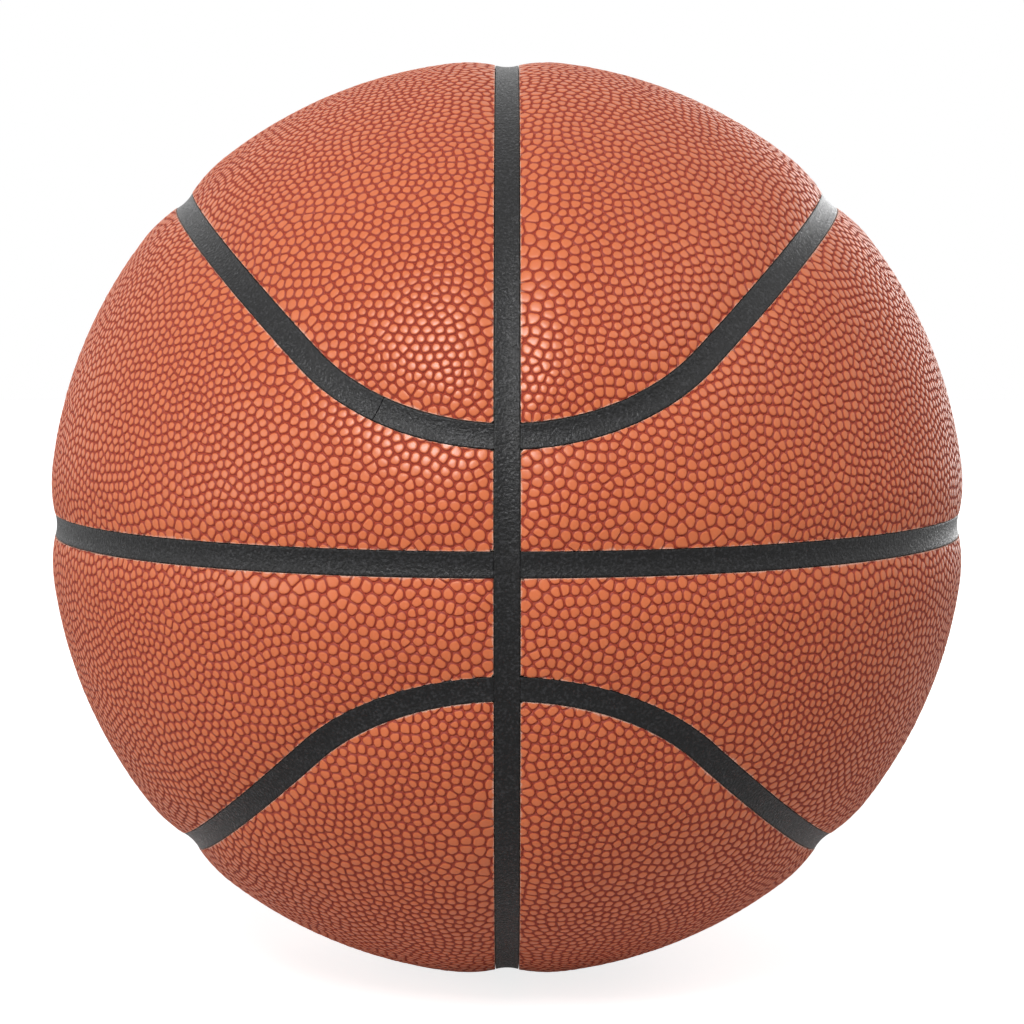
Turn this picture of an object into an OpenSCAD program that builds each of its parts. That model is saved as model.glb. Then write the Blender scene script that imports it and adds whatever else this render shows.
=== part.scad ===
// Basketball of size 7: a butyl bladder wound with thread, a moulded carcass,
// eight sponge pads, eight cover panels, and rubber strips inlaid between them.
// The ball's centre is the origin and +Z is up. The vertical seam lies in the
// plane X = 0 and the equator seam in Z = 0, so they cross in front, at -Y, and
// at the back, at +Y. Two closed curved seams cross the vertical seam above and
// below each of those crossings.

/* [Ball] */
// Diameter over the crowns of the cover panels
ball_d = 240; // [225:1:250]

/* [Layers, from the outside in] */
// Thickness of a cover panel
panel_t = 1.3; // [0.9:0.1:1.8]
// Thickness of a sponge pad under the middle of its panel
pad_t = 1.5; // [1.4:0.1:2.5]
// Thickness of the moulded rubber carcass
carcass_t = 0.9; // [0.6:0.1:1.6]
// Thickness of the thread winding
winding_t = 0.5; // [0.3:0.1:1.2]
// Thickness of the butyl bladder
bladder_t = 0.8; // [0.5:0.1:1.4]

/* [Seam layout] */
// Angle from the front crossing to where a curved seam crosses the vertical one
curve_cross_a = 14; // [11:0.5:18]
// Tilt of a curved seam's long sides against the equator
side_tilt_a = 45; // [41:0.5:49]
// Turn round the tip of the upper left curved seam to the butt joint in its strip
butt_a = 31; // [15:1:45]

/* [Channel] */
// Width of an inlaid strip
strip_w = 5.9; // [4.5:0.1:7]
// Gap between a strip and what lies beside it
strip_gap = 0.05; // [0.03:0.01:0.15]
// Distance from a seam's middle to where a panel begins to bend down
valley_reach = 13; // [10:0.5:16]
// Distance past that at which the arc of the bent shoulder would crest
crest_past = 2; // [1.5:0.1:3]
// Depth of a panel's edge below the crown
edge_drop = 1.25; // [0.8:0.05:1.35]
// Depth of a strip's edges below the crown
strip_drop = 1.45; // [1.2:0.05:1.7]
// Sag of a strip's face between its edges
strip_sag = 0.35; // [0.1:0.05:0.6]
// Width of the fine butt joint between two strip ends
butt_gap = 0.12; // [0.08:0.01:0.2]
// Length cut off a cap panel's sharp corners
corner_cut = 1; // [0.6:0.1:2]
// Distance that a panel's edge stands back from its pad's edge
edge_set_back = 0.1; // [0.05:0.05:0.3]
// Glue left between a piece and the layer under it
glue_t = 0.03; // [0.02:0.01:0.05]

/* [Valve] */
// Height of the valve above the equator
valve_lat_a = 9; // [6:0.5:12]
// Turn of the valve from the back crossing towards +X
valve_turn_a = 20; // [16:0.5:40]
// Radius of the housing's neck, which shows as a ring in the cover
neck_r = 5; // [4.5:0.1:6]
// Depth of the neck's face below the crown
neck_drop = 0.25; // [0.1:0.05:0.5]
// Radius of the housing's flange inside the bladder
flange_r = 14; // [10:0.5:20]
// Thickness of the flange
flange_t = 1.4; // [0.8:0.1:2.5]
// Radius of the housing's nose inside the ball
nose_r = 4.2; // [3.9:0.1:4.8]
// Length of the nose below the flange
nose_len = 9; // [7:0.5:14]
// Radius of the plug's head
head_r = 3.3; // [3:0.1:3.8]
// Thickness of the plug's head
head_t = 1.6; // [1.2:0.1:2.4]
// Depth of the plug's face below the neck's
head_drop = 0.3; // [0.1:0.1:0.6]
// Radius of the plug's stem
stem_r = 2.2; // [1.9:0.1:2.5]
// Radius of the barb that holds the plug in
barb_r = 2.8; // [2.6:0.1:3]
// Length of the barb
barb_len = 3; // [2:0.5:4]
// Radius of the barb's blunt tip
tip_r = 1.4; // [0.8:0.1:2]
// Radius of the needle's bore
needle_r = 1.15; // [0.9:0.05:1.3]
// Length of the straight part of that bore
needle_len = 8; // [5:0.5:10]
// Radius of the mouth that guides the needle in
mouth_r = 1.9; // [1.5:0.1:2.4]
// Depth of that mouth
mouth_depth = 0.5; // [0.3:0.1:0.6]
// Gap round the plug in its seat
plug_gap = 0.04; // [0.02:0.01:0.08]

/* [Hidden] */

$fn = 240;
crown_r = ball_d / 2;
carcass_r = crown_r - panel_t - pad_t;
winding_r = carcass_r - carcass_t;
bladder_r = winding_r - winding_t;
cavity_r = bladder_r - bladder_t;
// Reach of cutting shapes, well outside the ball, and their overrun
far = ball_d;
overrun = bladder_t / 2;
overrun_a = 3;

half_w = strip_w / 2;
edge_w = half_w + strip_gap;
edge_r = crown_r - edge_drop;

// Arc length on the crown, as an angle about the ball's centre
function turn(arc) = arc / crown_r * 180 / PI;
edge_a = asin(edge_w / carcass_r);
rim_a = turn(valley_reach);
crest_a = turn(valley_reach + crest_past);

// The shoulder's arc passes through a panel's edge and through the valley's rim
shoulder_at = (crown_r ^ 2 - edge_r ^ 2)
    / (2 * (crown_r * cos(crest_a - rim_a) - edge_r * cos(crest_a - edge_a)));
shoulder_r = sqrt(crown_r ^ 2 + shoulder_at ^ 2
    - 2 * crown_r * shoulder_at * cos(crest_a - rim_a));
crest_r = shoulder_at + shoulder_r;

// Each end of a curved seam is a small circle that touches its two straight sides
tip_at_a = atan2(sin(curve_cross_a), cos(curve_cross_a) - cos(side_tilt_a));
tip_a = tip_at_a - curve_cross_a;
tip_turn_a = acos(tan(tip_a) / tan(tip_at_a));
side_start_a = atan(tan(tip_at_a) * sin(side_tilt_a));
side_len_a = 90 - side_start_a;
half_len_a = tip_turn_a * sin(tip_a) + side_len_a;
tip_share = 1 - side_len_a / half_len_a;

// Directions that the curved seam is measured from
tip_pole = [0, -cos(tip_at_a), sin(tip_at_a)];
tip_down = [0, -sin(tip_at_a), -cos(tip_at_a)];
side_pole = [-sin(side_tilt_a), 0, cos(side_tilt_a)];
side_out = [cos(side_tilt_a), 0, sin(side_tilt_a)];

// Ribs across half a panel, and points on a rib's shoulder by share of its width
tip_ribs = 12;
side_ribs = 9;
shoulder_shares = [0, 0.5, 1];
// A rib's shoulders take at most this share of it each
shoulder_limit = 0.42;
// The crown is drawn higher than its facets dip, then trimmed to the true sphere
lift_share = 0.6;
crown_lift = 1 / cos(lift_share * side_len_a / side_ribs);

// A strip's hollow face is an arc from edge to edge
strip_edge_r = crown_r - strip_drop;
hollow_r = (half_w ^ 2 + strip_sag ^ 2) / (2 * strip_sag);
hollow_at = strip_edge_r - strip_sag + hollow_r;

// Heights in the valve, along its own axis from the ball's centre
neck_top = crown_r - neck_drop;
head_top = neck_top - head_drop;
head_seat = head_top - head_t;
flange_low = cavity_r - flange_t;
nose_end = flange_low - nose_len;
barb_top = nose_end + barb_len;
needle_top = head_top - mouth_depth;
needle_end = needle_top - needle_len;

cover_colour = "#D8734A";
strip_colour = "#2A2A2C";
sponge_colour = "#E8E2D2";
carcass_colour = "#4A342C";
thread_colour = "#EDEBE4";
butyl_colour = "#1D1D20";

// Directions on the front half of the upper right curved seam, a turn off_a to
// its inner side: on the tip by the turn round its pole, on the side by its angle
function on_tip(turn_a, off_a) = cos(tip_a - off_a) * tip_pole
    + sin(tip_a - off_a) * (cos(turn_a) * tip_down + [sin(turn_a), 0, 0]);
function on_side(along_a, off_a) = sin(off_a) * side_pole
    + cos(off_a) * (sin(along_a) * side_out - [0, cos(along_a), 0]);

// A panel's edge beside that seam, by share of its length from the vertical seam;
// side is 1 for the cap within the seam and -1 for the band outside it
function curve_edge(share, wall_a, side) =
    let (off_a = side * wall_a, first_a = asin(sin(wall_a) / sin(tip_a - off_a)))
    share < tip_share
        ? on_tip(first_a + (tip_turn_a - first_a) * share / tip_share, off_a)
        : on_side(90 - side_len_a * (1 - share) / (1 - tip_share), off_a);

// A panel's opposite edge: the cap's beside the vertical seam, the band's beside
// the equator
function vertical_edge(share, wall_a) =
    let (corner = curve_edge(0, wall_a, 1), first_a = atan2(corner.z, -corner.y),
        along_a = first_a + (90 - first_a) * share)
    [sin(wall_a), -cos(wall_a) * cos(along_a), cos(wall_a) * sin(along_a)];
function equator_edge(share, wall_a) =
    let (first_a = asin(tan(wall_a)), along_a = first_a + (90 - first_a) * share)
    [cos(wall_a) * sin(along_a), -cos(wall_a) * cos(along_a), sin(wall_a)];

// Angle between a direction and the nearest seam
function seam_a(way) = min(asin(way.x), asin(way.z),
    atan2(way.x, way * tip_down) < tip_turn_a
        ? abs(acos(way * tip_pole) - tip_a) : abs(asin(way * side_pole)));

// Height of the cover there: the shoulder's arc up to the crest, then level
function cover_r(from_seam_a) = from_seam_a >= crest_a ? crest_r
    : shoulder_at * cos(crest_a - from_seam_a)
        + sqrt(shoulder_r ^ 2 - (shoulder_at * sin(crest_a - from_seam_a)) ^ 2);

// Points of a layer's top on a rib from one edge to the other: down one shoulder,
// the middle, raised so that its two spans clear the crown, and the other shoulder
function rib(share, wall_a, side, depth) =
    let (from = curve_edge(share, wall_a, side),
        to = side > 0 ? vertical_edge(share, wall_a) : equator_edge(share, wall_a),
        width_a = acos(from * to),
        reach_a = min(crest_a - wall_a, width_a * shoulder_limit),
        last = len(shoulder_shares) - 1,
        along = concat([for (s = shoulder_shares) s * reach_a], [width_a / 2],
            [for (i = [last:-1:0]) width_a - shoulder_shares[i] * reach_a]))
    [for (i = [0:len(along) - 1])
        let (way = (sin(width_a - along[i]) * from + sin(along[i]) * to) / sin(width_a),
            raise = i < last || i > last + 2 ? 1
                : i == last + 1 ? crown_lift / cos(width_a / 2 - reach_a) : crown_lift)
        (cover_r(seam_a(way)) * raise - depth) * way];

// The front half of all that lies under a layer's top, down to the ball's centre
module half_block(side, depth, wall_a) {
    cut_share = side > 0 ? turn(corner_cut) / half_len_a : 0;
    shares = concat([cut_share], [for (i = [1:tip_ribs]) tip_share * i / tip_ribs],
        [for (i = [1:side_ribs]) tip_share + (1 - tip_share) * i / side_ribs]);
    ribs = [for (s = shares) rib(s, wall_a, side, depth)];
    cols = len(ribs[0]);
    last = cols * (len(ribs) - 1);
    apex = last + cols;
    faces = concat(
        [for (i = [0:cols:last - cols]) for (j = [i:i + cols - 2])
            each [[j, j + cols, j + cols + 1], [j, j + cols + 1, j + 1]]],
        [for (i = [0:cols:last - cols])
            each [[i, apex, i + cols], [i + cols - 1, i + 2 * cols - 1, apex]]],
        [[each [0:cols - 1], apex], [each [last + cols - 1:-1:last], apex]]);
    polyhedron([for (r = ribs) each r, [0, 0, 0]],
        side > 0 ? [for (f = faces) [for (i = [len(f) - 1:-1:0]) f[i]]] : faces);
}

// Both halves, trimmed to the sphere, whose poles lie away from these pieces
module block(side, depth, wall_a) {
    for (back = [0, 1]) mirror([0, back, 0]) intersection() {
        rotate([90, 0, 0]) sphere(r = crown_r - depth);
        half_block(side, depth, wall_a);
    }
}

// Puts an upper right piece in another quarter of the ball
module quarter(left, lower) {
    mirror([left, 0, 0]) mirror([0, 0, lower]) children();
}

// The valve's own frame, +Z outwards along its axis
module at_valve() {
    rotate([0, 90 - valve_lat_a, 90 - valve_turn_a]) children();
}

// The hole that the valve's neck fills in each layer
module neck_hole() {
    at_valve() cylinder(r = neck_r, h = far);
}

// A cover panel is bent down at its edges, and hollow under its middle and its
// shoulders alike
module panel(side, left, lower) {
    color(cover_colour) quarter(left, lower) difference() {
        block(side, 0, edge_a + turn(edge_set_back));
        block(side, panel_t, edge_a);
    }
}

// The sponge under a panel, between it and the carcass
module pad(side, left, lower) {
    color(sponge_colour) quarter(left, lower) difference() {
        block(side, panel_t, edge_a);
        rotate([90, 0, 0]) sphere(r = carcass_r);
    }
}

// Section of an inlaid strip about the ball's centre, with its seam along +X
module strip_section() {
    difference() {
        translate([winding_r, -half_w]) square([crown_r - winding_r, strip_w]);
        circle(r = carcass_r + glue_t);
        translate([hollow_at, 0]) circle(r = hollow_r);
    }
}

// Turns a section round a pole, with its seam seam_a away from that pole
module about_pole(seam_a, start_a, turn_a) {
    rotate_extrude(angle = turn_a, start = start_a) intersection() {
        rotate(90 - seam_a) children();
        translate([0, -far]) square([far, 2 * far]);
    }
}

// Carries a section along the front right quarter of the upper curved seam: the
// tip and the long side are turned in one frame, from the joint where they meet
module front_curve() {
    rotate([0, -side_tilt_a, 0]) rotate(side_start_a - 90) {
        rotate([0, 90 - tip_a, 0])
            about_pole(tip_a, -tip_turn_a - overrun_a, tip_turn_a + overrun_a) children();
        about_pole(90, 0, side_len_a + overrun_a) children();
    }
}

// Cuts a piece off at the plane Y = 0 and adds its mirror image behind
module front_and_back() {
    for (back = [0, 1]) mirror([0, back, 0]) intersection() {
        children();
        translate([-far, -far, -far]) cube([2 * far, far, 2 * far]);
    }
}

module right_of_vertical_strip() {
    translate([edge_w, -far, -far]) cube([far, 2 * far, 2 * far]);
}

// The vertical strip runs right round, and the others butt against it
module vertical_strip() {
    color(strip_colour) rotate([0, 90, 0]) rotate_extrude() strip_section();
}

module equator_strip(left) {
    color(strip_colour) quarter(left, 0) intersection() {
        rotate_extrude(angle = 180, start = -90) strip_section();
        right_of_vertical_strip();
    }
}

module curved_strip(left, lower) {
    color(strip_colour) quarter(left, lower) front_and_back() intersection() {
        front_curve() strip_section();
        right_of_vertical_strip();
    }
}

// One strip is laid in two lengths, with a fine butt joint between their ends
module jointed_curved_strip() {
    difference() {
        curved_strip(1, 0);
        quarter(1, 0) rotate([90 - tip_at_a, 0, 0]) rotate(butt_a - 90)
            translate([0, -butt_gap / 2, 0]) cube([far, butt_gap, far]);
    }
}

module with_valve_hole() {
    difference() {
        children();
        neck_hole();
    }
}

// A whole layer of the ball, with the hole for the valve's neck
module layer(outer_r, thickness) {
    difference() {
        sphere(r = outer_r);
        sphere(r = outer_r - thickness);
        neck_hole();
    }
}

module carcass() {
    color(carcass_colour) layer(carcass_r, carcass_t);
}

module thread_winding() {
    color(thread_colour) layer(winding_r, winding_t);
}

module bladder() {
    color(butyl_colour) layer(bladder_r, bladder_t);
}

// The housing's flange is bonded inside the bladder, its neck fills the layers,
// and its nose reaches into the ball. The plug's seat runs right through it.
module valve_housing() {
    color(butyl_colour) at_valve() rotate_extrude() difference() {
        union() {
            intersection() {
                square([flange_r, far]);
                difference() {
                    circle(r = cavity_r - glue_t);
                    circle(r = flange_low);
                }
            }
            intersection() {
                translate([0, flange_low]) square([neck_r, far]);
                circle(r = neck_top);
            }
            translate([0, nose_end]) square([nose_r, flange_low - nose_end + overrun]);
        }
        translate([0, head_seat]) square([head_r + plug_gap, far]);
        translate([0, nose_end - overrun]) square([stem_r + plug_gap, far]);
        translate([0, nose_end - overrun])
            square([barb_r + plug_gap, barb_len + overrun + plug_gap]);
    }
}

module valve_plug() {
    color(butyl_colour) at_valve() rotate_extrude() polygon([
        [0, nose_end], [tip_r, nose_end], [barb_r, barb_top], [stem_r, barb_top],
        [stem_r, head_seat], [head_r, head_seat], [head_r, head_top],
        [mouth_r, head_top], [needle_r, needle_top], [needle_r, needle_end],
        [0, needle_end - needle_r]
    ]);
}

panel(1, 1, 0);  // cap_panel_upper_left
panel(1, 0, 0);  // cap_panel_upper_right
panel(1, 1, 1);  // cap_panel_lower_left
panel(1, 0, 1);  // cap_panel_lower_right
panel(-1, 1, 0);  // band_panel_upper_left
with_valve_hole() panel(-1, 0, 0);  // band_panel_upper_right
panel(-1, 1, 1);  // band_panel_lower_left
panel(-1, 0, 1);  // band_panel_lower_right
pad(1, 1, 0);  // cap_pad_upper_left
pad(1, 0, 0);  // cap_pad_upper_right
pad(1, 1, 1);  // cap_pad_lower_left
pad(1, 0, 1);  // cap_pad_lower_right
pad(-1, 1, 0);  // band_pad_upper_left
with_valve_hole() pad(-1, 0, 0);  // band_pad_upper_right
pad(-1, 1, 1);  // band_pad_lower_left
pad(-1, 0, 1);  // band_pad_lower_right
vertical_strip();
equator_strip(1);  // equator_strip_left
equator_strip(0);  // equator_strip_right
jointed_curved_strip();  // curved_strip_upper_left
curved_strip(0, 0);  // curved_strip_upper_right
curved_strip(1, 1);  // curved_strip_lower_left
curved_strip(0, 1);  // curved_strip_lower_right
carcass();
thread_winding();
bladder();
valve_housing();
valve_plug();
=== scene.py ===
from math import acos, atan, atan2, cos, pi, radians, sin, sqrt, tan

import bpy
import numpy as np
from mathutils import Matrix, Vector
from mathutils.geometry import delaunay_2d_cdt


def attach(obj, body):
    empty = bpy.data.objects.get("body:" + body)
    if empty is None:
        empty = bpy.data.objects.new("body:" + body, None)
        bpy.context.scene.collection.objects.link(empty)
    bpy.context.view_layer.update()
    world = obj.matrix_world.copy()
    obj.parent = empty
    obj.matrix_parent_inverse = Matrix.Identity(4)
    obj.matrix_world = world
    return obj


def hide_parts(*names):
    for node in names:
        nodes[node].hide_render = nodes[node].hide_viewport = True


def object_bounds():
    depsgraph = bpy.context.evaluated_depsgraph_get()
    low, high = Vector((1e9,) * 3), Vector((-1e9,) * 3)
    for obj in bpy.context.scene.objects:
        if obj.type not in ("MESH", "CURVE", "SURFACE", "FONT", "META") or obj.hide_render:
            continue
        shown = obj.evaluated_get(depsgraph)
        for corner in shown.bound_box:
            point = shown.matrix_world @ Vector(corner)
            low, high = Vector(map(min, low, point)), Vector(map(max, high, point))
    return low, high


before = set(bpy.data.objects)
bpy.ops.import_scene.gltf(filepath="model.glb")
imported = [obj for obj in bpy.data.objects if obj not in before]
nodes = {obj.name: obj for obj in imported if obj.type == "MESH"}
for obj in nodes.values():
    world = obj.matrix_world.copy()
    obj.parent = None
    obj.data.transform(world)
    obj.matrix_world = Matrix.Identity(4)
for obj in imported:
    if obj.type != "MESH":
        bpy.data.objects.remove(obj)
size_at_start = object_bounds()

# The camera stands in front of the ball and a little above its middle, at the
# distance that shows as much of the ball's sides as the photograph does.
ball_radius = 0.120
camera_distance = 6.3 * ball_radius
camera_rise = radians(5.2)
image_side = 1024
focal_pixels = 2844.4
middle_in_photo = (507.06, 517.25)

bpy.ops.object.select_all(action="DESELECT")
bpy.ops.object.camera_add(
    location=(0, -camera_distance * cos(camera_rise), camera_distance * sin(camera_rise)),
    rotation=(pi / 2 - camera_rise, 0, 0))
camera = bpy.context.object
camera.name = "photo_camera"
camera.data.sensor_width = 36
camera.data.lens = focal_pixels / image_side * camera.data.sensor_width
camera.data.shift_x = (image_side / 2 - middle_in_photo[0]) / image_side
camera.data.shift_y = (middle_in_photo[1] - image_side / 2) / image_side
camera.data.clip_start = 0.01
bpy.context.scene.camera = camera
bpy.context.scene.view_settings.view_transform = "Standard"

# The studio: a white floor under the ball, a strong soft box above it in front and a
# little to the left, weaker ones at the left, the right and behind, and an even white
# room. Each box has its place, its width and its watts.
floor_half = 3.0
room_strength = 0.29
floor_colour = 0.66
floor_reflected = 0.12
shadow_near = 0.1
shadow_far = 1.2
shadow_glow = 0.8
soft_boxes = {
    "key_soft_box": ((-0.31, -1.08, 0.91), 0.42, 10.8),
    "left_soft_box": ((-1.10, -0.60, 0.25), 0.70, 2.9),
    "right_soft_box": ((0.95, -0.60, 1.05), 0.80, 2.8),
    "back_soft_box": ((0.60, 1.30, 0.20), 0.80, 4.5),
}


def background_rays(tree, reflected):
    """One for a ray from the camera, the share reflected for a ray from a shiny
    surface or glass, and nought for light."""
    path = tree.nodes.new("ShaderNodeLightPath")
    shiny = tree.nodes.new("ShaderNodeMath")
    shiny.operation = "MAXIMUM"
    shared = tree.nodes.new("ShaderNodeMath")
    shared.operation = "MULTIPLY"
    shared.inputs[1].default_value = reflected
    background = tree.nodes.new("ShaderNodeMath")
    background.operation = "MAXIMUM"
    tree.links.new(path.outputs["Is Glossy Ray"], shiny.inputs[0])
    tree.links.new(path.outputs["Is Transmission Ray"], shiny.inputs[1])
    tree.links.new(shiny.outputs[0], shared.inputs[0])
    tree.links.new(shared.outputs[0], background.inputs[0])
    tree.links.new(path.outputs["Is Camera Ray"], background.inputs[1])
    return background


room = bpy.data.worlds.new("white_room")
room.use_nodes = True
bpy.context.scene.world = room
room_tree = room.node_tree
room_tree.nodes["Background"].inputs["Color"].default_value = (1, 1, 1, 1)
room_tree.nodes["Background"].inputs["Strength"].default_value = room_strength
plain_white = room_tree.nodes.new("ShaderNodeBackground")
plain_white.inputs["Color"].default_value = (1, 1, 1, 1)
room_mix = room_tree.nodes.new("ShaderNodeMixShader")
room_tree.links.new(background_rays(room_tree, 1.0).outputs[0], room_mix.inputs["Fac"])
room_tree.links.new(room_tree.nodes["Background"].outputs[0], room_mix.inputs[1])
room_tree.links.new(plain_white.outputs[0], room_mix.inputs[2])
room_tree.links.new(room_mix.outputs[0], room_tree.nodes["World Output"].inputs["Surface"])

for name, (place, width, power) in soft_boxes.items():
    bpy.ops.object.light_add(type="AREA", location=place)
    box = bpy.context.object
    box.name = name
    box.data.shape = "SQUARE"
    box.data.size = width
    box.data.energy = power
    box.rotation_euler = (-Vector(place)).to_track_quat("-Z", "Y").to_euler()

bpy.ops.mesh.primitive_plane_add(size=2 * floor_half, location=(0, 0, size_at_start[0].z))
studio_floor = bpy.context.object
studio_floor.name = "studio_floor"
floor_paint = bpy.data.materials.new("white_floor_paint")
floor_paint.use_nodes = True
floor_shader = floor_paint.node_tree.nodes["Principled BSDF"]
floor_shader.inputs["Base Color"].default_value = (floor_colour,) * 3 + (1,)
floor_shader.inputs["Roughness"].default_value = 0.9
floor_tree = floor_paint.node_tree
floor_place = floor_tree.nodes.new("ShaderNodeTexCoord")
floor_reach = floor_tree.nodes.new("ShaderNodeVectorMath")
floor_reach.operation = "LENGTH"
floor_near = floor_tree.nodes.new("ShaderNodeMapRange")
floor_near.interpolation_type = "SMOOTHSTEP"
floor_near.inputs["From Min"].default_value = shadow_near
floor_near.inputs["From Max"].default_value = shadow_far
floor_near.inputs["To Min"].default_value = shadow_glow
floor_near.inputs["To Max"].default_value = 1.0
floor_glow = floor_tree.nodes.new("ShaderNodeMath")
floor_glow.operation = "MULTIPLY"
floor_tree.links.new(floor_place.outputs["Object"], floor_reach.inputs[0])
floor_tree.links.new(floor_reach.outputs["Value"], floor_near.inputs["Value"])
floor_tree.links.new(floor_near.outputs["Result"], floor_glow.inputs[0])
floor_tree.links.new(background_rays(floor_tree, floor_reflected).outputs[0], floor_glow.inputs[1])
floor_tree.links.new(floor_glow.outputs[0], floor_shader.inputs["Emission Strength"])
floor_shader.inputs["Emission Color"].default_value = (1, 1, 1, 1)
studio_floor.data.materials.append(floor_paint)

# Cover panels: eight sheets of pebbled composite leather, die-cut through their
# pebbles and glued over the sponge, so that their edges bend down into the
# channels. The four caps are one shape turned about the ball, as are the bands.
curve_cross = radians(14)
side_tilt = radians(45)
panel_edge = 0.00314
valley_reach = 0.013
crest_past = 0.002
edge_drop = 0.00125
panel_thickness = 0.0013
corner_ease = 0.0014
pebble_area = 5.7e-6
pebble_pitch = sqrt(pebble_area)
strewn_past = 3 * pebble_pitch
evened_past = 2.2 * pebble_pitch
shaped_past = 1.3 * pebble_pitch
gap_depth = 0.0005
gap_half = 0.00032
shoulder_drop = 0.00004
dome_rise = 0.000008
top_share = 0.8
corner_share = 0.4
corner_most = 0.00055
most_drawn_in = 0.33
roundness = 0.5
shortest_edge = 0.00003
relaxing_rounds = 30
unevenness = 0.0001
lift_spread = 0.00002
narrowest_gap = 0.85
gap_spread = 0.3
least_room = 0.00002
back_room = 0.0025
back_thinning = 9
shoulder_height = 0.5
plain_tone = 0.5
farthest_cosine = -0.35
same_place = 1e-9
panel_seed = {"cap": 11, "band": 23}
valve_rise = radians(9)
valve_turn = radians(20)
valve_rim = 0.00506

tip_at = atan2(sin(curve_cross), cos(curve_cross) - cos(side_tilt))
tip_radius = tip_at - curve_cross
tip_turn = acos(tan(tip_radius) / tan(tip_at))
tip_pole = np.array([0, -cos(tip_at), sin(tip_at)])
tip_down = np.array([0, -sin(tip_at), -cos(tip_at)])
side_pole = np.array([-sin(side_tilt), 0, cos(side_tilt)])
valve_way = np.array([cos(valve_rise) * sin(valve_turn), cos(valve_rise) * cos(valve_turn),
                      sin(valve_rise)])
edge_radius = ball_radius - edge_drop
rim_angle = valley_reach / ball_radius
crest_angle = (valley_reach + crest_past) / ball_radius
edge_angle = panel_edge / ball_radius
shoulder_at = (ball_radius ** 2 - edge_radius ** 2) / (
    2 * (ball_radius * cos(crest_angle - rim_angle)
         - edge_radius * cos(crest_angle - edge_angle)))
shoulder_radius = sqrt(ball_radius ** 2 + shoulder_at ** 2
                       - 2 * ball_radius * shoulder_at * cos(crest_angle - rim_angle))


def unit(points):
    return points / np.linalg.norm(points, axis=-1, keepdims=True)


def seam_distances(ways, shape):
    """Distances on the crown from a panel's three seams, positive inside the panel."""
    front = np.stack([ways[:, 0], -np.abs(ways[:, 1]), ways[:, 2]], 1)
    on_tip = np.arctan2(front[:, 0], front @ tip_down) < tip_turn
    curved = np.where(on_tip, tip_radius - np.arccos(np.clip(front @ tip_pole, -1, 1)),
                      np.arcsin(np.clip(front @ side_pole, -1, 1)))
    vertical = np.arcsin(np.clip(ways[:, 0], -1, 1))
    equator = np.arcsin(np.clip(ways[:, 2], -1, 1))
    kept = [vertical, curved] if shape == "cap" else [vertical, equator, -curved]
    return ball_radius * np.stack(kept, 1)


def room_to_edge(ways, shape, with_valve):
    """Distances on the crown from a panel's cut edge, positive on the panel."""
    room = seam_distances(ways, shape).min(1) - panel_edge
    if with_valve:
        from_valve = ball_radius * np.arccos(np.clip(ways @ valve_way, -1, 1)) - valve_rim
        room = np.minimum(room, from_valve)
    return room


def cover_height(ways, shape):
    """Radius of the pebbles' tops: level over the crown, drawn down beside a seam."""
    seams = np.maximum(seam_distances(ways, shape), 0)
    eased = -corner_ease * np.log(np.exp(-seams / corner_ease).sum(1))
    turned = np.maximum(crest_angle - np.maximum(eased, 0) / ball_radius, 0)
    return shoulder_at * np.cos(turned) + np.sqrt(
        shoulder_radius ** 2 - (shoulder_at * np.sin(turned)) ** 2)


def flat_map(ways, middle):
    """The sphere laid flat so that circles stay circles, seen from outside."""
    across = unit(np.cross([0, 1, 0], middle))
    along = np.cross(middle, across)
    return np.stack([ways @ across, ways @ along], 1) / (1 + ways @ middle)[:, None]


def pebble_cells(sites, middle):
    """Each pebble's corners in order: the arrays hold one entry for each corner."""
    flat = [Vector(p) for p in flat_map(sites, middle)]
    found = delaunay_2d_cdt(flat, [], [], 0, same_place)
    triangles = np.array([f for f in found[2] if len(f) == 3])
    a, b, c = (sites[triangles[:, i]] for i in range(3))
    corners = unit(np.cross(b - a, c - a))
    corners *= np.sign((corners * a).sum(1))[:, None]
    owner = triangles.ravel()
    corner = np.repeat(np.arange(len(triangles)), 3)
    out = sites[owner]
    east = unit(np.cross([0, 1, 0], out))
    north = np.cross(out, east)
    away = corners[corner] - out
    order = np.lexsort((np.arctan2((away * north).sum(1), (away * east).sum(1)), owner))
    owner, corner = owner[order], corner[order]
    first = np.r_[True, owner[1:] != owner[:-1]]
    start = np.maximum.accumulate(np.where(first, np.arange(len(owner)), 0))
    last = np.r_[first[1:], True]
    following = np.where(last, start, np.arange(len(owner)) + 1)
    return corners, owner, corner, following


def pebble_sites(shape, middle):
    """Points strewn over the panel and a little past it, then evened out."""
    chance = np.random.default_rng(panel_seed[shape])
    wanted = int(4 * pi * ball_radius ** 2 / pebble_area)
    sites = unit(chance.normal(size=(wanted, 3)))
    sites = sites[room_to_edge(sites, shape, False) > -strewn_past]
    sites = sites[sites @ middle > farthest_cosine]
    inner = room_to_edge(sites, shape, False) > -evened_past
    for _ in range(relaxing_rounds):
        corners, owner, corner, following = pebble_cells(sites, middle)
        here, then = corners[corner], corners[corner[following]]
        area = np.linalg.norm(np.cross(here - sites[owner], then - sites[owner]), axis=1)
        moved = np.zeros_like(sites)
        np.add.at(moved, owner, area[:, None] * (here + then + sites[owner]))
        sites = np.where(inner[:, None], unit(moved), sites)
    return unit(sites + chance.normal(scale=unevenness / ball_radius, size=sites.shape))


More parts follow.
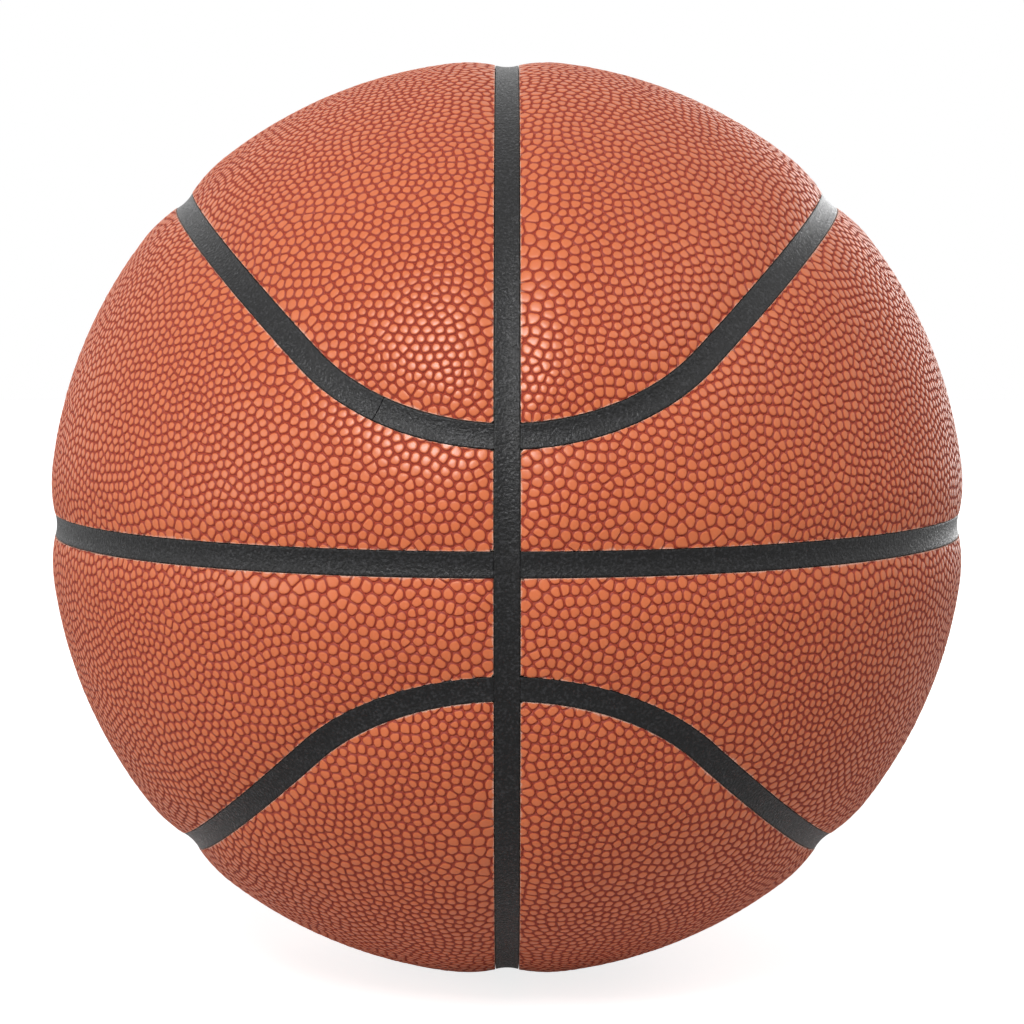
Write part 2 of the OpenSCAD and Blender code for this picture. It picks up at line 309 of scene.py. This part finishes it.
def pebbled_top(shape, middle):
    """Points, triangles, heights in the pebble from 0 to 1, and a tone per pebble."""
    sites = pebble_sites(shape, middle)
    corners, owner, corner, following = pebble_cells(sites, middle)
    near = room_to_edge(sites, shape, False) > -shaped_past
    kept = near[owner]
    renumber = np.cumsum(kept) - 1
    owner, corner = owner[kept], corner[kept]
    following = renumber[following[kept]]
    chance = np.random.default_rng(panel_seed[shape] + 1)
    tone = chance.random(len(sites))
    lift = chance.normal(scale=lift_spread, size=len(sites))
    width = gap_half * (narrowest_gap + gap_spread * chance.random(len(sites)))
    here, then, centre = corners[corner], corners[corner[following]], sites[owner]

    def drawn_in(points):
        inward = centre - points
        share = width[owner] / ball_radius / np.linalg.norm(inward, axis=1)
        return points + inward * np.minimum(share, most_drawn_in)[:, None]

    def rounded_off(points, usual):
        away = points - centre
        far = np.linalg.norm(away, axis=1)
        return centre + away * np.minimum(1, (usual / far) ** roundness)[:, None]

    side = np.linalg.norm(then - here, axis=1)
    rounded = np.minimum(corner_share, corner_most / ball_radius / side)[:, None]
    after = drawn_in(here + rounded * (then - here))
    before = drawn_in(then + rounded * (here - then))
    reach = np.linalg.norm(after - centre, axis=1)
    usual = (np.bincount(owner, reach) / np.maximum(np.bincount(owner), 1))[owner]
    after, before = rounded_off(after, usual), rounded_off(before, usual)
    before_prev = np.empty_like(before)
    before_prev[following] = before
    inner = centre + top_share * ((after + before_prev) / 2 - centre)
    used, floor_of = np.unique(corner, return_inverse=True)
    middles, middle_of = np.unique(owner, return_inverse=True)
    ways = unit(np.concatenate([corners[used], after, before, inner, sites[middles]]))
    count = len(owner)
    level = np.concatenate([
        np.full(len(used), -gap_depth), lift[owner] - shoulder_drop,
        lift[owner] - shoulder_drop, lift[owner], lift[middles] + dome_rise])
    points = ways * (cover_height(ways, shape) + level)[:, None]
    height = np.concatenate([np.zeros(len(used)), np.full(2 * count, shoulder_height),
                             np.ones(count + len(middles))])
    tones = np.concatenate([np.full(len(used), plain_tone), tone[owner], tone[owner],
                            tone[owner], tone[middles]])
    floor_here = floor_of
    floor_then = floor_of[following]
    after_at = len(used) + np.arange(count)
    before_at = after_at + count
    inner_at = before_at + count
    centre_at = len(used) + 3 * count + middle_of
    corner_before = np.empty(count, int)
    corner_before[following] = before_at
    triangles = np.concatenate([np.stack(t, 1) for t in (
        (floor_here, floor_then, before_at), (floor_here, before_at, after_at),
        (floor_here, after_at, corner_before), (corner_before, after_at, inner_at),
        (after_at, before_at, inner_at[following]),
        (after_at, inner_at[following], inner_at),
        (inner_at, inner_at[following], centre_at))])
    return points, triangles, height, tones, sites


def die_cut(points, triangles, height, tones, shape, with_valve):
    """Cuts the sheet through its pebbles along the panel's edge. Gives the cut
    sheet and the edge as pairs of points, with the sheet on the left of each."""
    room = room_to_edge(unit(points), shape, with_valve)
    room = np.where(np.abs(room) < least_room, least_room, room)
    inside = room > 0
    held = inside[triangles].sum(1)
    whole = triangles[held == 3]
    values = np.concatenate([points, height[:, None], tones[:, None],
                             np.zeros((len(points), 1))], 1)

    def turned(which, state):
        chosen = triangles[held == which]
        flags = inside[chosen] == state
        at = flags.argmax(1)
        rows = np.arange(len(chosen))
        return [chosen[rows, (at + i) % 3] for i in range(3)]

    one = turned(1, True)
    two = turned(2, False)
    pairs = np.concatenate([np.stack([one[0], one[1]], 1), np.stack([one[0], one[2]], 1),
                            np.stack([two[2], two[0]], 1), np.stack([two[1], two[0]], 1)])
    pairs.sort(axis=1)
    cut, cut_of = np.unique(pairs, axis=0, return_inverse=True)
    cut_of = cut_of.ravel()
    share = (room[cut[:, 0]] / (room[cut[:, 0]] - room[cut[:, 1]]))[:, None]
    fresh = values[cut[:, 0]] * (1 - share) + values[cut[:, 1]] * share
    fresh[:, 5] = 1
    cut_of = cut_of + len(points)
    ones, twos = len(one[0]), len(two[0])
    one_b, one_c, two_c, two_b = np.split(cut_of, np.cumsum([ones, ones, twos]))
    sheet = np.concatenate([
        whole, np.stack([one[0], one_b, one_c], 1),
        np.stack([two[1], two[2], two_c], 1), np.stack([two[1], two_c, two_b], 1)])
    edge = np.concatenate([np.stack([one_b, one_c], 1), np.stack([two_c, two_b], 1)])
    values = np.concatenate([values, fresh])
    kept = np.arange(len(values))
    following = dict(edge.tolist())
    while following:
        at = next(iter(following))
        last = at
        while at in following:
            at = following.pop(at)
            if np.linalg.norm(values[at, :3] - values[last, :3]) > shortest_edge:
                last = at
            kept[at] = last
    sheet, edge = kept[sheet], kept[edge]
    sheet = sheet[(sheet[:, 0] != sheet[:, 1]) & (sheet[:, 1] != sheet[:, 2])
                  & (sheet[:, 2] != sheet[:, 0])]
    edge = edge[edge[:, 0] != edge[:, 1]]
    used, renumbered = np.unique(np.concatenate([sheet.ravel(), edge.ravel()]),
                                 return_inverse=True)
    renumbered = renumbered.ravel()
    sheet_flat = renumbered[:sheet.size].reshape(-1, 3)
    edge_flat = renumbered[sheet.size:].reshape(-1, 2)
    return values[used], sheet_flat, edge_flat


def backed_sheet(values, sheet, edge, sites, shape, with_valve, middle):
    """Closes the sheet with its cut edge and a smooth back."""
    rim, rim_of = np.unique(edge.ravel(), return_inverse=True)
    rim_of = rim_of.reshape(-1, 2)
    rim_ways = unit(values[rim, :3])
    back_sites = sites[::back_thinning]
    back_sites = back_sites[room_to_edge(back_sites, shape, with_valve) > back_room]
    back_ways = np.concatenate([rim_ways, back_sites])
    back_points = back_ways * (cover_height(back_ways, shape) - panel_thickness)[:, None]
    flat = [Vector(p) for p in flat_map(back_ways, middle)]
    found = delaunay_2d_cdt(flat, [tuple(e) for e in rim_of.tolist()], [], 1, same_place)
    if len(found[0]) != len(flat):
        raise RuntimeError("the back of a panel gained or lost points")
    back = np.array(found[2])
    all_round_hole = (back < len(rim)).all(1) & (
        room_to_edge(unit(back_points[back].mean(1)), shape, with_valve) < 0)
    back = back[~all_round_hole]
    first = len(values)
    low = first + rim_of
    walls = np.concatenate([np.stack([edge[:, 1], edge[:, 0], low[:, 0]], 1),
                            np.stack([edge[:, 1], low[:, 0], low[:, 1]], 1)])
    back_values = np.concatenate([back_points, np.zeros((len(back_points), 1)),
                                  np.full((len(back_points), 2), 0.5)], 1)
    return (np.concatenate([values, back_values]),
            np.concatenate([sheet, walls, first + back[:, ::-1]]), len(sheet))


def cover_mesh(name, shape, with_valve, top, middle):
    """A panel's mesh, with the two materials and the values that colour its pebbles."""
    points, triangles, height, tones, sites = top
    values, sheet, edge = die_cut(points, triangles, height, tones, shape, with_valve)
    values, faces, sheet_count = backed_sheet(values, sheet, edge, sites, shape, with_valve,
                                              middle)
    mesh = bpy.data.meshes.new(name)
    mesh.vertices.add(len(values))
    mesh.vertices.foreach_set("co", values[:, :3].astype(np.float32).ravel())
    mesh.loops.add(faces.size)
    mesh.loops.foreach_set("vertex_index", faces.astype(np.int32).ravel())
    mesh.polygons.add(len(faces))
    mesh.polygons.foreach_set("loop_start", np.arange(0, faces.size, 3, dtype=np.int32))
    mesh.update(calc_edges=True)
    for key, column in (("pebble_height", 3), ("pebble_tone", 4), ("cut_rim", 5)):
        layer = mesh.attributes.new(key, "FLOAT", "POINT")
        layer.data.foreach_set("value", values[:, column].astype(np.float32))
    material_of = np.zeros(len(faces), np.int32)
    material_of[sheet_count:] = 1
    mesh.polygons.foreach_set("material_index", material_of)
    mesh.validate()
    return mesh


def srgb(red, green, blue):
    """A colour as it is seen on a screen, from 0 to 255, for a shader."""
    parts = [c / 255 for c in (red, green, blue)]
    return tuple(c / 12.92 if c <= 0.04045 else ((c + 0.055) / 1.055) ** 2.4
                 for c in parts) + (1.0,)


def only(piece):
    """Selects one piece and nothing else."""
    bpy.ops.object.select_all(action="DESELECT")
    piece.select_set(True)
    bpy.context.view_layer.objects.active = piece


def new_material(name, roughness):
    material = bpy.data.materials.new(name)
    material.use_nodes = True
    shader = material.node_tree.nodes["Principled BSDF"]
    shader.inputs["Roughness"].default_value = roughness
    return material, material.node_tree, shader


def own_value(tree, key):
    """One of the mesh's own values."""
    source = tree.nodes.new("ShaderNodeAttribute")
    source.attribute_name = key
    return source.outputs["Fac"]


def noise(tree, scale, detail=2.0, roughness=0.5):
    """Noise that goes through the whole ball, with its scale in waves per metre."""
    place = tree.nodes.new("ShaderNodeTexCoord")
    pattern = tree.nodes.new("ShaderNodeTexNoise")
    pattern.inputs["Scale"].default_value = scale
    pattern.inputs["Detail"].default_value = detail
    pattern.inputs["Roughness"].default_value = roughness
    tree.links.new(place.outputs["Object"], pattern.inputs["Vector"])
    return pattern.outputs["Fac"]


def colours_along(tree, value, stops):
    """Colours along a value, as pairs of a place from 0 to 1 and a colour."""
    ramp = tree.nodes.new("ShaderNodeValToRGB")
    for _ in range(len(stops) - 2):
        ramp.color_ramp.elements.new(0.5)
    for element, (place, colour) in zip(ramp.color_ramp.elements, stops):
        element.position = place
        element.color = colour
    tree.links.new(value, ramp.inputs["Fac"])
    return ramp.outputs["Color"]


def ranged(tree, value, source, target):
    """A value taken from one range to another and held inside it."""
    share = tree.nodes.new("ShaderNodeMapRange")
    for key, limit in zip(("From Min", "From Max", "To Min", "To Max"), source + target):
        share.inputs[key].default_value = limit
    tree.links.new(value, share.inputs["Value"])
    return share.outputs["Result"]


def mixed_colour(tree, share, first, second, blend="MIX"):
    """Two colours mixed by a share, each a plain value or another node's output."""
    mix = tree.nodes.new("ShaderNodeMix")
    mix.data_type = "RGBA"
    mix.blend_type = blend
    for key, given in (("Factor", share), ("A", first), ("B", second)):
        if isinstance(given, bpy.types.NodeSocket):
            tree.links.new(given, mix.inputs[key])
        else:
            mix.inputs[key].default_value = given
    return mix.outputs["Result"]


def relief(tree, shader, height, strength, distance):
    """Fine relief in a surface, too fine for its mesh."""
    bump = tree.nodes.new("ShaderNodeBump")
    bump.inputs["Strength"].default_value = strength
    bump.inputs["Distance"].default_value = distance
    tree.links.new(height, bump.inputs["Height"])
    tree.links.new(bump.outputs["Normal"], shader.inputs["Normal"])


def pebbled_leather():
    """Painted shade darkens the colour down between the pebbles, most on their walls, where it
    stands for their shadow lines. Their tops are paler and shinier, and a pale line shows where
    the sheet is cut."""
    shiny, dull = 0.345, 0.65
    material, tree, shader = new_material("pebbled_cover", shiny)
    height = own_value(tree, "pebble_height")
    # Painted shade: the colour darkens from the pebbles' tops down into the gaps, and is darkest
    # on the walls between them.
    gap_shade_by_height = colours_along(tree, height, (
        (0.0, srgb(190, 78, 46)), (0.25, srgb(146, 42, 18)), (0.43, srgb(158, 50, 22)),
        (0.52, srgb(209, 101, 49)), (1.0, srgb(219, 111, 59))))
    by_tone = colours_along(tree, own_value(tree, "pebble_tone"), (
        (0.0, (0.94, 0.92, 0.9, 1)), (0.5, (0.98, 0.98, 0.98, 1)), (1.0, (1, 1.03, 1.06, 1))))
    toned = mixed_colour(tree, 1.0, gap_shade_by_height, by_tone, "MULTIPLY")
    rim_share = ranged(tree, own_value(tree, "cut_rim"), (0.45, 1.0), (0.0, 0.65))
    rimmed = mixed_colour(tree, rim_share, toned, srgb(244, 196, 176))
    polish = ranged(tree, height, (shoulder_height, 1.0), (dull, shiny))
    tree.links.new(rimmed, shader.inputs["Base Color"])
    tree.links.new(polish, shader.inputs["Roughness"])
    shader.inputs["Specular IOR Level"].default_value = 0.66
    relief(tree, shader, noise(tree, 4000), 0.12, 0.0001)
    return material


def fabric_backing():
    """The pale fabric that shows in the cut edge."""
    material, tree, shader = new_material("cover_cut_edge", 0.8)
    colour = colours_along(tree, noise(tree, 2600), (
        (0.0, srgb(196, 138, 116)), (1.0, srgb(240, 206, 190))))
    tree.links.new(colour, shader.inputs["Base Color"])
    return material


def shown(name, mesh, materials, node):
    """Puts a finished piece in the scene in place of its solid."""
    piece = bpy.data.objects.new(name, mesh)
    bpy.context.scene.collection.objects.link(piece)
    for material in materials:
        mesh.materials.append(material)
    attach(piece, "root")
    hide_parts(node)
    return piece


cover_materials = (pebbled_leather(), fabric_backing())
quarter_turns = {
    "upper_right": Matrix.Identity(4),
    "upper_left": Matrix.Rotation(pi, 4, "Z"),
    "lower_right": Matrix.Rotation(pi, 4, "X"),
    "lower_left": Matrix.Rotation(pi, 4, "Y"),
}
panel_middles = {
    "cap": np.array([sin(side_tilt / 2), 0, cos(side_tilt / 2)]),
    "band": np.array([cos(side_tilt / 2), 0, sin(side_tilt / 2)]),
}
for shape, middle in panel_middles.items():
    top = pebbled_top(shape, middle)
    plain = cover_mesh(shape + "_panel", shape, False, top, middle)
    for quarter, turn in quarter_turns.items():
        node = f"{shape}_panel_{quarter}"
        if node == "band_panel_upper_right":
            mesh = cover_mesh(node, shape, True, top, middle)
        else:
            mesh = plain.copy()
            mesh.transform(turn)
        panel = shown("cover_" + node, mesh, cover_materials, node)
        only(panel)
        bpy.ops.object.shade_smooth_by_angle(angle=radians(60))
    bpy.data.meshes.remove(plain)

# Inlaid strips: flat strips of black rubber glued to the carcass in the channels
# between the panels. The vertical one runs right round and the others butt against
# it. Their faces are a little hollow and keep the fine grain of the mould.
strip_half = 0.00295
strip_gap = 0.00005
strip_drop = 0.00145
strip_sag = 0.00035
strip_foot = 0.1173
edge_round = 0.0002
strip_turn = radians(1.2)
butt_turn = radians(31)
butt_gap = 0.0002
face_points = 11
weld_distance = 1e-6
cut_threshold = 1e-7


def strip_section(seam, across):
    """A strip's outline where its seam lies along one way, with across beside it."""
    face = ball_radius - strip_drop
    flat = strip_half - edge_round
    outline = [(strip_half, strip_foot)]
    for turn in np.radians((0, 30, 60)):
        outline.append((flat + edge_round * cos(turn), face + edge_round * (sin(turn) - 1)))
    for aside in np.linspace(flat, -flat, face_points):
        outline.append((aside, face - strip_sag * (1 - (aside / flat) ** 2)))
    for turn in np.radians((120, 150, 180)):
        outline.append((-flat + edge_round * cos(turn), face + edge_round * (sin(turn) - 1)))
    outline.append((-strip_half, strip_foot))
    return [Vector(seam) * height + Vector(across) * aside for aside, height in outline]


def laid_along(section, arcs):
    """Spins a section about one pole after another, as the arcs of a seam follow."""
    bpy.ops.object.select_all(action="DESELECT")
    bpy.ops.mesh.primitive_circle_add(vertices=len(section), fill_type="NOTHING")
    strip = bpy.context.object
    for corner, place in zip(strip.data.vertices, section):
        corner.co = place
    bpy.ops.object.mode_set(mode="EDIT")
    bpy.ops.mesh.select_all(action="SELECT")
    for pole, turn in arcs:
        bpy.ops.mesh.spin(steps=max(2, round(turn / strip_turn)), angle=-turn,
                          center=(0, 0, 0), axis=pole)
    bpy.ops.mesh.select_all(action="SELECT")
    bpy.ops.mesh.remove_doubles(threshold=weld_distance)
    bpy.ops.mesh.normals_make_consistent(inside=False)
    bpy.ops.object.mode_set(mode="OBJECT")
    return strip


def cut_off(strip, place, past):
    """Cuts away what lies past a plane and closes the end of the strip."""
    only(strip)
    bpy.ops.object.mode_set(mode="EDIT")
    bpy.ops.mesh.select_all(action="SELECT")
    bpy.ops.mesh.bisect(plane_co=place, plane_no=past, use_fill=True, clear_outer=True,
                        threshold=cut_threshold)
    bpy.ops.object.mode_set(mode="OBJECT")


def moulded_rubber():
    """Black rubber with a fine grain and pale, polished flecks."""
    shiny, dull = 0.2, 0.36
    material, tree, shader = new_material("strip_rubber", dull)
    mottled = colours_along(tree, noise(tree, 700, 5, 0.7), (
        (0.35, srgb(6, 6, 7)), (0.7, srgb(16, 16, 17))))
    flecks = ranged(tree, noise(tree, 1500, 3), (0.52, 0.62), (0.0, 1.0))
    tree.links.new(mixed_colour(tree, flecks, mottled, srgb(44, 44, 46)),
                   shader.inputs["Base Color"])
    tree.links.new(ranged(tree, flecks, (0.0, 1.0), (dull, shiny)), shader.inputs["Roughness"])
    shader.inputs["Specular IOR Level"].default_value = 0.31
    relief(tree, shader, noise(tree, 1400, 4), 0.9, 0.00035)
    return material


strip_rubber = moulded_rubber()


def laid_in(strip, node, turn=Matrix.Identity(4)):
    """Turns a finished strip into its own quarter and gives it its rubber."""
    strip.name = "inlaid_" + node
    strip.data.transform(turn)
    strip.data.materials.append(strip_rubber)
    only(strip)
    bpy.ops.object.shade_smooth_by_angle(angle=radians(40))
    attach(strip, "root")
    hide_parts(node)


front = (0, -1, 0)
upright = (0, 0, 1)
sideways = (1, 0, 0)
butt_end = (strip_half + strip_gap, 0, 0)
laid_in(laid_along(strip_section(front, sideways), [(sideways, 2 * pi)]), "vertical_strip")

for node, turn in (("equator_strip_right", Matrix.Identity(4)),
                   ("equator_strip_left", Matrix.Rotation(pi, 4, "Z"))):
    strip = laid_along(strip_section(front, upright), [(upright, pi)])
    cut_off(strip, butt_end, (-1, 0, 0))
    laid_in(strip, node, turn)

curve_front = cos(tip_radius) * tip_pole + sin(tip_radius) * tip_down
curve_across = sin(tip_radius) * tip_pole - cos(tip_radius) * tip_down
side_start = atan(tan(tip_at) * sin(side_tilt))
tip_pole_behind = tip_pole * (1, -1, 1)
curve_arcs = [(tip_pole, tip_turn), (side_pole, pi - 2 * side_start),
              (tip_pole_behind, tip_turn)]
for quarter, turn in quarter_turns.items():
    strip = laid_along(strip_section(curve_front, curve_across), curve_arcs)
    cut_off(strip, butt_end, (-1, 0, 0))
    if quarter == "upper_left":
        # This one is laid in two lengths. The fine butt joint is at the back of the
        # shape as it is made here, which comes to the front when it is turned.
        down_behind = tip_down * (1, -1, 1)
        way = cos(butt_turn) * down_behind + sin(butt_turn) * np.array(sideways)
        along = -sin(butt_turn) * down_behind + cos(butt_turn) * np.array(sideways)
        longer = strip.copy()
        longer.data = strip.data.copy()
        bpy.context.scene.collection.objects.link(longer)
        middle_of_joint = tip_pole_behind * cos(tip_radius) + way * sin(tip_radius)
        cut_off(strip, (middle_of_joint * ball_radius + along * butt_gap / 2).tolist(),
                (-along).tolist())
        cut_off(longer, (middle_of_joint * ball_radius - along * butt_gap / 2).tolist(),
                along.tolist())
        only(strip)
        longer.select_set(True)
        bpy.ops.object.join()
    laid_in(strip, "curved_strip_" + quarter, turn)

# Sponge pads: eight sheets of soft closed-cell sponge rubber, moulded to the panels'
# outlines and glued to the carcass. They give the cover its soft grip.


def sponge_rubber():
    material, tree, shader = new_material("pad_sponge", 0.9)
    place = tree.nodes.new("ShaderNodeTexCoord")
    cells = tree.nodes.new("ShaderNodeTexVoronoi")
    cells.inputs["Scale"].default_value = 1400
    tree.links.new(place.outputs["Object"], cells.inputs["Vector"])
    colour = colours_along(tree, cells.outputs["Distance"], (
        (0.0, srgb(196, 186, 164)), (0.5, srgb(232, 226, 210))))
    tree.links.new(colour, shader.inputs["Base Color"])
    relief(tree, shader, cells.outputs["Distance"], 0.6, 0.0003)
    return material


def finished(names, material):
    """Gives a solid that is shown as it is its own finish."""
    for name in names:
        nodes[name].data.materials.clear()
        nodes[name].data.materials.append(material)


finished([name for name in nodes if "_pad_" in name], sponge_rubber())

# Carcass: the moulded rubber layer over the winding, which keeps the ball round. It
# is cured in a mould, so it has a fine matt skin with faint flow marks.


def carcass_rubber():
    material, tree, shader = new_material("carcass_skin", 0.62)
    colour = colours_along(tree, noise(tree, 60, 4), (
        (0.0, srgb(64, 45, 38)), (1.0, srgb(84, 60, 51))))
    tree.links.new(colour, shader.inputs["Base Color"])
    relief(tree, shader, noise(tree, 1800), 0.3, 0.0001)
    return material


finished(["carcass"], carcass_rubber())

# Thread winding: a kilometre or two of fine nylon thread wound over the bladder in
# every direction and set in latex, so that the ball can't stretch.
winding_ways = ((0.2, 0.1, 0.97), (0.9, 0.3, -0.2), (-0.4, 0.85, 0.3), (0.6, -0.5, 0.62))
threads_across = 2300


def wound_thread():
    material, tree, shader = new_material("nylon_winding", 0.55)
    place = tree.nodes.new("ShaderNodeTexCoord")
    last = None
    for way in winding_ways:
        across = tree.nodes.new("ShaderNodeVectorMath")
        across.operation = "DOT_PRODUCT"
        across.inputs[1].default_value = Vector(way).normalized() * threads_across
        tree.links.new(place.outputs["Object"], across.inputs[0])
        ridge = tree.nodes.new("ShaderNodeMath")
        ridge.operation = "SINE"
        tree.links.new(across.outputs["Value"], ridge.inputs[0])
        if last is None:
            last = ridge
        else:
            upper = tree.nodes.new("ShaderNodeMath")
            upper.operation = "MAXIMUM"
            tree.links.new(last.outputs[0], upper.inputs[0])
            tree.links.new(ridge.outputs[0], upper.inputs[1])
            last = upper
    colour = colours_along(tree, last.outputs[0], (
        (0.0, srgb(176, 168, 148)), (0.7, srgb(232, 228, 214))))
    tree.links.new(colour, shader.inputs["Base Color"])
    relief(tree, shader, last.outputs[0], 0.8, 0.0002)
    return material


finished(["thread_winding"], wound_thread())

# Bladder: a closed ball of black butyl rubber that holds the air. It is smooth, with
# a dull shine.


def butyl_rubber():
    material, tree, shader = new_material("butyl_skin", 0.36)
    colour = colours_along(tree, noise(tree, 90, 3), (
        (0.0, srgb(24, 24, 26)), (1.0, srgb(40, 40, 42))))
    tree.links.new(colour, shader.inputs["Base Color"])
    return material


butyl = butyl_rubber()
finished(["bladder"], butyl)

# Valve: a butyl housing bonded into the bladder, whose neck comes up through every
# layer and shows as a ring in the cover, and a soft plug with the hole for the
# needle, held in the housing by its barb. Both are moulded, with rounded lips.
neck_radius = 0.005
neck_drop = 0.00025
plug_gap = 0.00004
plug_seat = 0.11785
head_radius = 0.0033
head_top = 0.11945
stem_radius = 0.0022
barb_radius = 0.0028
barb_length = 0.003
plug_tip_radius = 0.0014
mouth_radius = 0.0019
mouth_bottom = 0.11895
bore_radius = 0.00115
bore_bottom = 0.11095
bore_point = 0.1098
flange_radius = 0.014
flange_ring_in = 0.009
flange_ring_out = 0.0095
flange_out = 0.11497
flange_in = 0.1136
nose_radius = 0.0042
nose_end = 0.1046
lip_round = 0.00013
turning_steps = 72


def on_ball(ball, aside):
    """A point of a turned outline that lies on a ball about the middle."""
    return (aside, sqrt(ball ** 2 - aside ** 2))


def turned_piece(name, outline, node, material):
    """Turns an outline of (radius, height) about the valve's axis."""
    bpy.ops.object.select_all(action="DESELECT")
    bpy.ops.mesh.primitive_circle_add(vertices=len(outline), fill_type="NOTHING")
    piece = bpy.context.object
    piece.name = name
    for corner, (radius, height) in zip(piece.data.vertices, outline):
        corner.co = (radius, 0, height)
    bpy.ops.object.mode_set(mode="EDIT")
    bpy.ops.mesh.select_all(action="SELECT")
    bpy.ops.mesh.spin(steps=turning_steps, angle=2 * pi, center=(0, 0, 0), axis=(0, 0, 1))
    bpy.ops.mesh.select_all(action="SELECT")
    bpy.ops.mesh.remove_doubles(threshold=weld_distance)
    bpy.ops.mesh.delete_loose()
    bpy.ops.mesh.select_all(action="SELECT")
    bpy.ops.mesh.normals_make_consistent(inside=False)
    bpy.ops.object.mode_set(mode="OBJECT")
    lips = piece.modifiers.new("lips", "BEVEL")
    lips.width = lip_round
    lips.segments = 3
    lips.limit_method = "ANGLE"
    lips.angle_limit = radians(32)
    bpy.ops.object.modifier_apply(modifier="lips")
    piece.data.transform(Vector(valve_way).to_track_quat("Z", "Y").to_matrix().to_4x4())
    piece.data.materials.append(material)
    bpy.ops.object.shade_smooth_by_angle(angle=radians(35))
    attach(piece, "root")
    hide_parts(node)


barb_end = nose_end + barb_length
turned_piece("valve_neck_and_flange", [
    on_ball(ball_radius - neck_drop, head_radius + plug_gap),
    (head_radius + plug_gap, plug_seat), (stem_radius + plug_gap, plug_seat),
    (stem_radius + plug_gap, barb_end + plug_gap), (barb_radius + plug_gap, barb_end + plug_gap),
    (barb_radius + plug_gap, nose_end), (nose_radius, nose_end),
    on_ball(flange_in, nose_radius), on_ball(flange_in, flange_ring_in),
    on_ball(flange_in, flange_radius), on_ball(flange_out, flange_radius),
    on_ball(flange_out, flange_ring_out), on_ball(flange_out, neck_radius),
    on_ball(ball_radius - neck_drop, neck_radius)], "valve_housing", butyl)
turned_piece("valve_needle_plug", [
    (0, nose_end), (plug_tip_radius, nose_end), (barb_radius, barb_end),
    (stem_radius, barb_end), (stem_radius, plug_seat), (head_radius, plug_seat),
    (head_radius, head_top), (mouth_radius, head_top), (bore_radius, mouth_bottom),
    (bore_radius, bore_bottom), (0, bore_point)], "valve_plug", butyl)
